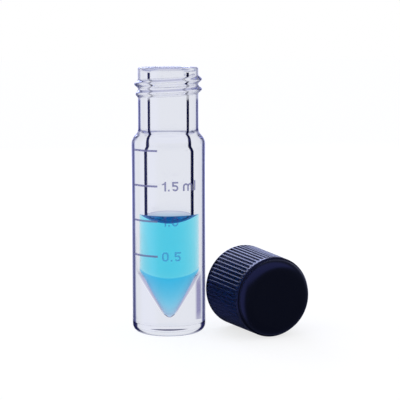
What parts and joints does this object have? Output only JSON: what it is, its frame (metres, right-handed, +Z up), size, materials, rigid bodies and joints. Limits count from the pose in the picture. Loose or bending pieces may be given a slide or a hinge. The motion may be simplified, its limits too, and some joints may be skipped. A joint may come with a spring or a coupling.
{
  "type": "glass sample vial",
  "caption": "Clear glass screw-neck sample vial with a conical chamber, a printed volume scale and a blue sample, its ribbed black screw cap lying beside it.",
  "frame": {"origin": "centre of the vial's flat base, on the surface that it stands on", "axes": "+Z up the vial's axis through its mouth, -Y towards the front where the scale is printed, +X towards the side where the cap lies"},
  "size_m": [0.0378, 0.0215, 0.0572],
  "materials": {
    "clear_glass": "clear colourless borosilicate glass, fire-polished, smooth all over",
    "blue_sample": "transparent bright cyan-blue aqueous liquid",
    "white_enamel": "thin fused white ceramic enamel, slightly translucent, satin",
    "black_cap": "black moulded phenolic, satin to semi-gloss, with a cold purple sheen",
    "liner": "off-white faced rubber sealing disc, matte"
  },
  "bodies": {
    "root": {"vial_body": "clear_glass", "sample_liquid": "blue_sample", "graduation_lines": "white_enamel", "graduation_numerals": "white_enamel", "cap_shell": "black_cap", "cap_liner": "liner"}
  },
  "joints": []
}
